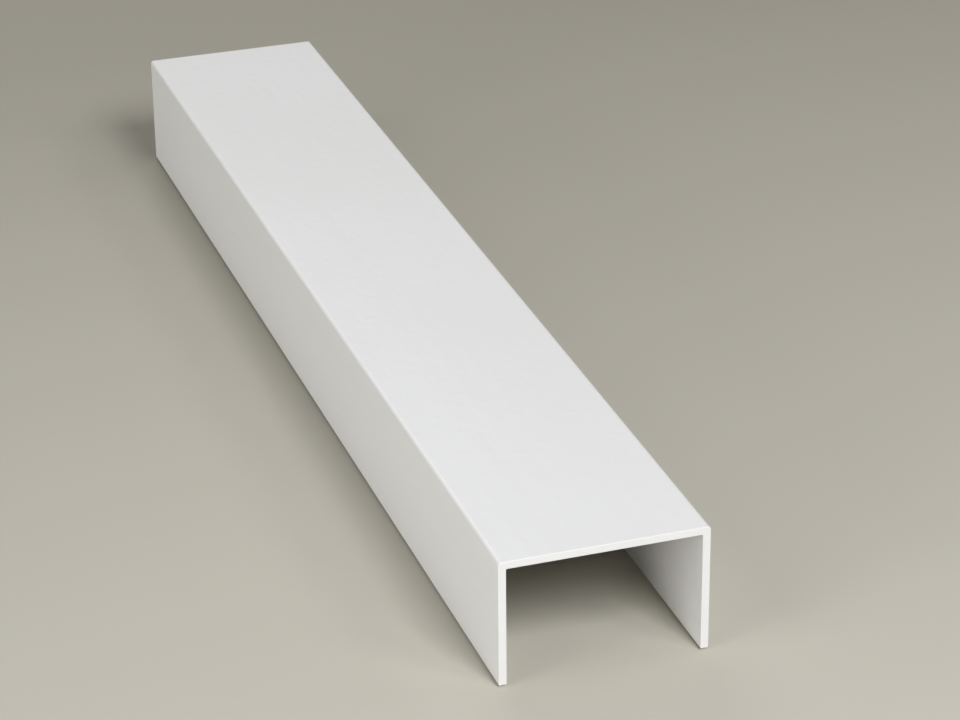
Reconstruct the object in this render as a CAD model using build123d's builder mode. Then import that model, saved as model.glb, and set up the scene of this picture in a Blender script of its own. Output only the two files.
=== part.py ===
import os

from build123d import *

# A length of equal-leg U-channel, extruded in aluminium and coated white, lying on its two flange toes
# with the web on top. X runs across the section, Y along the length, and Z is up from the toes.
# The origin is on the floor, under the middle of the web. All lengths are in millimetres.

# Outside sizes
section_width = 40.0
section_height = 25.0
cut_length = 260.0

# Walls
web_thickness = 1.5
flange_thickness = 1.5

# Radii that the die leaves along the section
heel_radius = 0.7
root_radius = 0.25
toe_radius = 0.2

# Edges of the sawn ends, eased before coating
cut_edge_radius = 0.1

# The slot between the flanges
slot_width = section_width - 2 * flange_thickness
slot_depth = section_height - web_thickness

with BuildPart() as u_channel:
    # The section, with its foot line on the sketch's X axis
    with BuildSketch(Plane.XZ) as section:
        Rectangle(section_width, section_height, align=(Align.CENTER, Align.MIN))
        Rectangle(slot_width, slot_depth, align=(Align.CENTER, Align.MIN), mode=Mode.SUBTRACT)
        # Rows of corners from the floor up are toes, roots and heels, and rounding the roots first
        # leaves the toes as the lowest row and the heels as the highest
        fillet(section.vertices().group_by(Axis.Y)[1], radius=root_radius)
        fillet(section.vertices().group_by(Axis.Y)[0], radius=toe_radius)
        fillet(section.vertices().group_by(Axis.Y)[-1], radius=heel_radius)
    extrude(amount=cut_length / 2, both=True)
    # The outline of each sawn end
    fillet(u_channel.faces().filter_by(Axis.Y).edges(), radius=cut_edge_radius)

u_channel.part.label = "u_channel"

os.makedirs("parts", exist_ok=True)
export_step(u_channel.part, "parts/u_channel.step")
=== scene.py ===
import math

import bpy
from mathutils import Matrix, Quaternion, Vector

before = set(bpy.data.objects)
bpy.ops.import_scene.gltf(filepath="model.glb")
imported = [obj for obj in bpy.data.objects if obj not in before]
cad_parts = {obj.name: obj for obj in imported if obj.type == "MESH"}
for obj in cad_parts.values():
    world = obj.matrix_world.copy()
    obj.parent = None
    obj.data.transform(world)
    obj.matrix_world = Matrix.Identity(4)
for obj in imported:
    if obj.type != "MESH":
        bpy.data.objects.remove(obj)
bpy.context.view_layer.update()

mm = 0.001  # the scene is in metres

mixColour = 2  # a Mix node's colour is the third of its outputs


def linear(hexColour):  # sRGB hex to the linear RGBA that Blender's sockets take
    channels = [int(hexColour[i:i + 2], 16) / 255 for i in (1, 3, 5)]
    return [c / 12.92 if c <= 0.04045 else ((c + 0.055) / 1.055) ** 2.4 for c in channels] + [1.0]


def node(tree, kind, settings=None, links=None, place=(0, 0)):
    # adds one node: settings go to its properties, links to its sockets as a value or another node's output
    made = tree.nodes.new(kind)
    made.location = place
    for name, value in (settings or {}).items():
        setattr(made, name, value)
    sockets = {socket.identifier: socket for socket in made.inputs}  # a Mix has several sockets called A
    for name, value in (links or {}).items():
        if isinstance(value, bpy.types.NodeSocket):
            tree.links.new(value, sockets[name])
        else:
            sockets[name].default_value = value
    return made


def newMaterial(name):
    material = bpy.data.materials.new(name)
    material.use_nodes = True
    material.node_tree.nodes.clear()
    return material, material.node_tree


# Polyester powder, sprayed dry on extruded aluminium and baked to one film. It hides the metal: an even
# satin white with the slow waves of orange peel, a fine grain, and long faint die lines that show through it.
# The real relief is too low to show from where the camera stands, so all three are drawn higher.
powderCoat = {
    "fullFilm": "#ECECEB",
    "thinFilm": "#E9E9E7",  # a little of the grey metal comes through
    "filmPatch": 55 * mm,  # size of the soft patches where the film is thicker or thinner
    "dieShare": 0.3,  # how far the thickness follows the die lines, and for the rest the patches
    "thinning": (0.35, 0.65),  # levels of the noise where the film starts to thin and is thinnest
    "ior": 1.5,
    "satin": (0.38, 0.48),  # roughness on full and on thin film
    "dieLine": 1.3 * mm,  # across the run of the die lines
    "dieRun": 160 * mm,  # along it
    "dieHeight": 0.006 * mm,
    "peelWave": 2.4 * mm,
    "peelHeight": 0.066 * mm,
    "grainSize": 0.9 * mm,  # real grains are near 0.1 mm, drawn coarser so that they show
    "grainHeight": 0.008 * mm,
}


def whitePowderCoat(look):
    material, tree = newMaterial("whitePowderCoat")
    point = node(tree, "ShaderNodeTexCoord", place=(-1300, 0)).outputs["Object"]

    # thickness of the film, in soft patches and along the die lines
    patches = node(tree, "ShaderNodeTexNoise", place=(-900, 300), links={
        "Vector": point, "Scale": 1 / look["filmPatch"], "Detail": 2.0, "Roughness": 0.4})
    stretched = node(tree, "ShaderNodeMapping", place=(-1100, -100), links={
        "Vector": point, "Scale": (1 / look["dieLine"], 1 / look["dieRun"], 1 / look["dieLine"])})
    dieLines = node(tree, "ShaderNodeTexNoise", place=(-900, -100), links={
        "Vector": stretched.outputs["Vector"], "Scale": 1.0, "Detail": 3.0, "Roughness": 0.6})
    film = node(tree, "ShaderNodeMix", {"data_type": "FLOAT"}, place=(-650, 200), links={
        "Factor_Float": look["dieShare"],
        "A_Float": patches.outputs["Fac"], "B_Float": dieLines.outputs["Fac"]})
    thin = node(tree, "ShaderNodeMapRange", {"interpolation_type": "SMOOTHSTEP"}, place=(-450, 200), links={
        "Value": film.outputs["Result"], "From Min": look["thinning"][0], "From Max": look["thinning"][1]})
    white = node(tree, "ShaderNodeMix", {"data_type": "RGBA"}, place=(-250, 300), links={
        "Factor_Float": thin.outputs["Result"],
        "A_Color": linear(look["fullFilm"]), "B_Color": linear(look["thinFilm"])})
    satin = node(tree, "ShaderNodeMapRange", place=(-250, 50), links={
        "Value": thin.outputs["Result"], "To Min": look["satin"][0], "To Max": look["satin"][1]})

    # relief, from the die lines under the film to the grain on it
    peel = node(tree, "ShaderNodeTexNoise", place=(-900, -400), links={
        "Vector": point, "Scale": 1 / look["peelWave"], "Detail": 1.0, "Roughness": 0.4})
    grain = node(tree, "ShaderNodeTexNoise", place=(-900, -700), links={
        "Vector": point, "Scale": 1 / look["grainSize"], "Detail": 1.0})
    waves = [(dieLines, look["dieHeight"]), (peel, look["peelHeight"]), (grain, look["grainHeight"])]
    relief = None
    for step, (wave, height) in enumerate(waves):
        sockets = {"Height": wave.outputs["Fac"], "Distance": height, "Strength": 1.0}
        if relief:
            sockets["Normal"] = relief.outputs["Normal"]
        relief = node(tree, "ShaderNodeBump", links=sockets, place=(-650 + 200 * step, -300))

    shader = node(tree, "ShaderNodeBsdfPrincipled", links={
        "Base Color": white.outputs[mixColour],
        "Roughness": satin.outputs["Result"],
        "IOR": look["ior"],
        "Normal": relief.outputs["Normal"],
    })
    node(tree, "ShaderNodeOutputMaterial", links={"Surface": shader.outputs["BSDF"]}, place=(300, 0))
    return material


coat = whitePowderCoat(powderCoat)
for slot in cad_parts["u_channel"].material_slots:
    slot.material = coat
print("channel coated")

# A plain board painted matt: pale, with no grain and hardly any gloss. Painted shade darkens it a little
# towards the back, where the light falls off, and it runs out into the tone of the room.
floorLook = {
    # painted shade: the near tone is the board in full light, the far tone is the board darkened as if the
    # light fell off
    "nearLitTone": "#C8C4B7",
    "farShadedTone": "#A5A194",
    "shadeRampAt": (-200 * mm, 200 * mm),  # where the painted shade begins and is deepest, along the channel
    "roughness": 0.55,
    "gloss": 0.3,  # specular level, low so that the lights leave no glare
    "half": 4.0,  # from the middle to each side
    "drop": 0.35 * mm,  # a hair under the toes, which leaves the fine dark line of their contact
    "fade": (0.25, 0.7),  # from the middle, where the room's tone begins and is full
}
roomLook = {
    "tone": "#FFFFFF",  # a faint even light from all round
    "strength": 0.06,
    "backdrop": "#9D998C",  # what is seen past the floor
}


def seenRay(tree, place):  # 1 where the camera, a reflection or a pane looks, 0 for the light that is cast
    path = node(tree, "ShaderNodeLightPath", place=place)
    seen = path.outputs["Is Camera Ray"]
    for step, ray in enumerate(("Is Glossy Ray", "Is Transmission Ray"), 1):
        either = node(tree, "ShaderNodeMath", {"operation": "MAXIMUM"}, {
            "Value": seen, "Value_001": path.outputs[ray]}, (place[0] + 200 * step, place[1]))
        seen = either.outputs["Value"]
    return seen


def addFloor(look, room):
    half = look["half"]
    mesh = bpy.data.meshes.new("floor")
    corners = [(-half, -half, 0), (half, -half, 0), (half, half, 0), (-half, half, 0)]
    mesh.from_pydata(corners, [], [(0, 1, 2, 3)])
    floor = bpy.data.objects.new("floor", mesh)
    floor.location.z = -look["drop"]
    bpy.context.scene.collection.objects.link(floor)

    material, tree = newMaterial("mattPaintedBoard")
    point = node(tree, "ShaderNodeTexCoord", place=(-900, 0)).outputs["Object"]
    along = node(tree, "ShaderNodeSeparateXYZ", links={"Vector": point}, place=(-700, 100))
    # painted shade: the colour runs from the lit near tone to the darker far tone, in place of the light
    # falling off towards the back
    paintedFalloff = node(tree, "ShaderNodeMapRange", place=(-500, 100), links={
        "Value": along.outputs["Y"], "From Min": look["shadeRampAt"][0], "From Max": look["shadeRampAt"][1]})
    tone = node(tree, "ShaderNodeMix", {"data_type": "RGBA"}, place=(-300, 100), links={
        "Factor_Float": paintedFalloff.outputs["Result"],
        "A_Color": linear(look["nearLitTone"]), "B_Color": linear(look["farShadedTone"])})
    matt = node(tree, "ShaderNodeBsdfPrincipled", place=(-100, 100), links={
        "Base Color": tone.outputs[mixColour],
        "Roughness": look["roughness"],
        "Specular IOR Level": look["gloss"],
    })

    # past the fade, what is seen is the room's own tone
    reach = node(tree, "ShaderNodeVectorMath", {"operation": "LENGTH"}, {"Vector": point}, (-700, -200))
    fade = node(tree, "ShaderNodeMapRange", {"interpolation_type": "SMOOTHSTEP"}, place=(-500, -200), links={
        "Value": reach.outputs["Value"], "From Min": look["fade"][0], "From Max": look["fade"][1]})
    share = node(tree, "ShaderNodeMath", {"operation": "MULTIPLY"}, place=(-100, -200), links={
        "Value": fade.outputs["Result"], "Value_001": seenRay(tree, (-900, -450))})
    backdrop = node(tree, "ShaderNodeEmission", links={"Color": linear(room["backdrop"])}, place=(-100, -400))
    both = node(tree, "ShaderNodeMixShader", place=(150, 0), links={
        "Fac": share.outputs["Value"],
        "Shader": matt.outputs["BSDF"], "Shader_001": backdrop.outputs["Emission"]})
    node(tree, "ShaderNodeOutputMaterial", links={"Surface": both.outputs["Shader"]}, place=(350, 0))
    mesh.materials.append(material)


def addRoom(look):
    world = bpy.data.worlds.new("room")
    world.use_nodes = True
    tree = world.node_tree
    tree.nodes.clear()
    air = node(tree, "ShaderNodeBackground", place=(0, 100), links={
        "Color": linear(look["tone"]), "Strength": look["strength"]})
    backdrop = node(tree, "ShaderNodeBackground", links={"Color": linear(look["backdrop"])}, place=(0, -100))
    both = node(tree, "ShaderNodeMixShader", place=(250, 0), links={
        "Fac": seenRay(tree, (-600, 300)),
        "Shader": air.outputs["Background"], "Shader_001": backdrop.outputs["Background"]})
    node(tree, "ShaderNodeOutputWorld", links={"Surface": both.outputs["Shader"]}, place=(450, 0))
    bpy.context.scene.world = world


addFloor(floorLook, roomLook)
addRoom(roomLook)
print("floor laid")

# Soft light from large panels, each aimed at the middle of the channel. Turn and rise are degrees, and turn 0
# stands off the near end, 90 off the right side. Distance and size are metres, power is watts.
panels = {
    "key": {"turn": 11, "rise": 42, "distance": 1.5, "size": (0.4, 0.62), "power": 14.6, "tone": "#F9FAFF"},
    "keySide": {"turn": 36, "rise": 38, "distance": 1.5, "size": (0.38, 0.38), "power": 3.8},
    "leftLow": {"turn": -61, "rise": 14, "distance": 1.2, "size": (0.6, 0.4), "power": 4.3},
    "leftBack": {"turn": -110, "rise": 12, "distance": 1.2, "size": (0.6, 0.35), "power": 1.2},
    "leftHigh": {"turn": -75, "rise": 40, "distance": 1.2, "size": (0.5, 0.5), "power": 2.1},
    "right": {"turn": 90, "rise": 40, "distance": 1.2, "size": (0.6, 0.6), "power": 1.6},
    "back": {"turn": 180, "rise": 40, "distance": 1.2, "size": (0.6, 0.6), "power": 1.9},
}


def outwards(turn, rise):  # the way from the channel to something at these angles, in degrees
    turn, rise = math.radians(turn), math.radians(rise)
    return Vector((math.sin(turn) * math.cos(rise), -math.cos(turn) * math.cos(rise), math.sin(rise)))


def addPanel(name, look):
    lamp = bpy.data.lights.new(name, "AREA")
    lamp.shape = "RECTANGLE"
    lamp.size, lamp.size_y = look["size"]
    lamp.energy = look["power"]
    lamp.color = linear(look.get("tone", "#FFFFFF"))[:3]  # white unless it has a tone
    panel = bpy.data.objects.new(name, lamp)
    away = outwards(look["turn"], look["rise"])
    panel.location = away * look["distance"]
    panel.rotation_mode = "QUATERNION"
    panel.rotation_quaternion = (-away).to_track_quat("-Z", "Y")
    panel.visible_camera = False
    bpy.context.scene.collection.objects.link(panel)


for panelName, panelLook in panels.items():
    addPanel(panelName, panelLook)
print("lights up")

# The camera stands left of the near end and looks down along the channel
cameraView = {
    "lens": 123.0,  # mm, for a picture 17 degrees wide
    "sensor": 36.0,
    "target": Vector((18.7, -4.1, 0.0)) * mm,
    "distance": 700.2 * mm,
    "turn": -18.29,  # degrees round the channel, 0 looks straight along it
    "rise": 26.07,  # degrees above the floor
    "roll": -0.57,
}


def addCamera(look):
    lens = bpy.data.cameras.new("camera")
    lens.lens = look["lens"]
    lens.sensor_width = look["sensor"]
    camera = bpy.data.objects.new("camera", lens)
    away = outwards(look["turn"], look["rise"])
    camera.location = look["target"] + away * look["distance"]
    camera.rotation_mode = "QUATERNION"
    level = (-away).to_track_quat("-Z", "Y")
    camera.rotation_quaternion = level @ Quaternion((0, 0, 1), math.radians(look["roll"]))
    bpy.context.scene.collection.objects.link(camera)
    bpy.context.scene.camera = camera


addCamera(cameraView)
bpy.context.scene.view_settings.view_transform = "Standard"
print("camera set")
